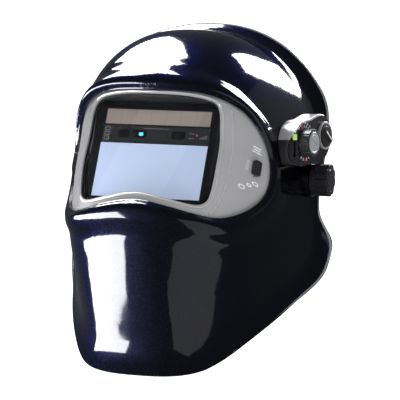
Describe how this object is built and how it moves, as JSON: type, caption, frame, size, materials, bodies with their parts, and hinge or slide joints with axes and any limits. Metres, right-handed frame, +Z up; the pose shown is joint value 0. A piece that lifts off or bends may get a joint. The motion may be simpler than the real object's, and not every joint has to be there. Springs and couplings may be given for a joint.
{
  "type": "welding helmet",
  "caption": "Auto-darkening welding helmet: tipping shell with wrap-round silver window, side control unit and ratchet headband.",
  "frame": {"origin": "midpoint of the axis on which the shell tips up, at the centre of the headband", "axes": "helmet worn upright: -Y front, +X wearer's left, +Z up"},
  "size_m": [0.2604, 0.2864, 0.3371],
  "materials": {
    "shell_paint": "gloss dark blue lacquer on moulded polyamide",
    "silver_paint": "satin silver paint on plastic",
    "clear_pane": "clear polycarbonate",
    "gasket_rubber": "matte",
    "black_gloss": "gloss black",
    "black_matte": "fine grain black",
    "dark_glass": "blue mirror filter glass",
    "solar_face": "solar cell under glass",
    "strip_grey": "dark grey display strip",
    "sensor_eye": "dark sensor lens",
    "board_green": "circuit board",
    "cell_steel": "button cell",
    "spring_steel": "sheet steel clip",
    "screw_steel": "zinc plated",
    "trim_silver": "metallic silver trim",
    "green_grip": "green slider",
    "grey_nylon": "dark grey nylon",
    "strap_nylon": "black flexible nylon",
    "brass_gear": "natural acetal",
    "sweat_cloth": "padded cloth"
  },
  "bodies": {
    "headgear": {"headband": "strap_nylon", "rail_left": "grey_nylon", "rail_right": "grey_nylon", "rail_rivets": "screw_steel", "crown_front": "strap_nylon", "crown_rear": "strap_nylon", "crown_bridge": "strap_nylon", "strap_studs": "grey_nylon", "ratchet_housing": "grey_nylon", "sweatband": "sweat_cloth", "rear_pad": "sweat_cloth"},
    "carriers": {"carrier_left": "grey_nylon", "carrier_right": "grey_nylon", "pivot_bolt_left": "screw_steel", "pivot_bolt_right": "screw_steel", "friction_washer_left": "gasket_rubber", "friction_washer_right": "gasket_rubber"},
    "shell": {"helmet_shell": "shell_paint", "lens_surround": "silver_paint", "cover_lens": "clear_pane", "lens_gasket": "gasket_rubber", "filter_housing": "black_gloss", "filter_cradle": "black_matte", "filter_glass": "dark_glass", "display_strip": "strip_grey", "solar_cell": "solar_face", "light_sensors": "sensor_eye", "circuit_board": "board_green", "button_cells": "cell_steel", "battery_covers": "black_matte", "inner_cover_lens": "clear_pane", "filter_clip": "spring_steel", "control_case": "trim_silver", "control_face": "black_gloss", "control_board": "board_green", "control_pots": "grey_nylon", "case_screws": "screw_steel", "mode_ring": "trim_silver"},
    "shade_dial": {"shade_knob": "black_matte", "shade_disc": "trim_silver"},
    "mode_dial": {"mode_knob": "black_matte"},
    "sensitivity": {"sensitivity_slider": "green_grip"},
    "sensor_left": {"sensor_slider_left": "black_matte"},
    "sensor_right": {"sensor_slider_right": "black_matte"},
    "tilt_knob": {"pivot_knob_left": "black_gloss", "pivot_cap_left": "black_gloss"},
    "tilt_nut": {"pivot_nut_right": "black_gloss"},
    "ratchet_wheel": {"ratchet_knob": "black_matte", "ratchet_cap": "grey_nylon", "pinion": "brass_gear"},
    "rack_left": {"rack_left": "strap_nylon"},
    "rack_right": {"rack_right": "strap_nylon"}
  },
  "joints": [
    {"name": "fore_aft", "type": "slide", "parent": "headgear", "child": "carriers", "axis": [0, -1, 0], "range_m": [0, 0.012]},
    {"name": "shell_tilt", "type": "hinge", "parent": "carriers", "child": "shell", "pos_m": [0, 0, 0], "axis": [-1, 0, 0], "range_deg": [0, 70]},
    {"name": "shade_turn", "type": "hinge", "parent": "shell", "child": "shade_dial", "pos_m": [0.1156, -0.037, 0.027], "axis": [0.9848, -0.1736, 0], "range_deg": [0, 270]},
    {"name": "mode_turn", "type": "hinge", "parent": "shell", "child": "mode_dial", "pos_m": [0.12178, -0.00193, 0.0403], "axis": [0.9848, -0.1736, 0], "range_deg": [0, 90]},
    {"name": "sensitivity_slide", "type": "slide", "parent": "shell", "child": "sensitivity", "axis": [-0.0361, -0.2048, 0.9781], "range_m": [-0.012, 0.001]},
    {"name": "sensor_slide_left", "type": "slide", "parent": "shell", "child": "sensor_left", "axis": [0, 0.1832, 0.9831], "range_m": [-0.004, 0.004]},
    {"name": "sensor_slide_right", "type": "slide", "parent": "shell", "child": "sensor_right", "axis": [0, 0.1832, 0.9831], "range_m": [-0.004, 0.004]},
    {"name": "tilt_knob_turn", "type": "hinge", "parent": "carriers", "child": "tilt_knob", "pos_m": [0.12, 0, 0], "axis": [1, 0, 0], "range_deg": [0, 360]},
    {"name": "tilt_nut_turn", "type": "hinge", "parent": "carriers", "child": "tilt_nut", "pos_m": [-0.113, 0, 0], "axis": [-1, 0, 0], "range_deg": [0, 360]},
    {"name": "ratchet_turn", "type": "hinge", "parent": "headgear", "child": "ratchet_wheel", "pos_m": [0, 0.121, -0.02], "axis": [0, -1, 0], "range_deg": [0, 85]},
    {"name": "rack_slide_left", "type": "slide", "parent": "headgear", "child": "rack_left", "axis": [1, 0, 0], "range_m": [-0.0095, 0.001]},
    {"name": "rack_slide_right", "type": "slide", "parent": "headgear", "child": "rack_right", "axis": [1, 0, 0], "range_m": [-0.001, 0.0095]}
  ],
  "couplings": [
    {"joint": "rack_slide_left", "follows": "ratchet_turn", "m_per_rad": -0.006},
    {"joint": "rack_slide_right", "follows": "ratchet_turn", "m_per_rad": 0.006}
  ]
}
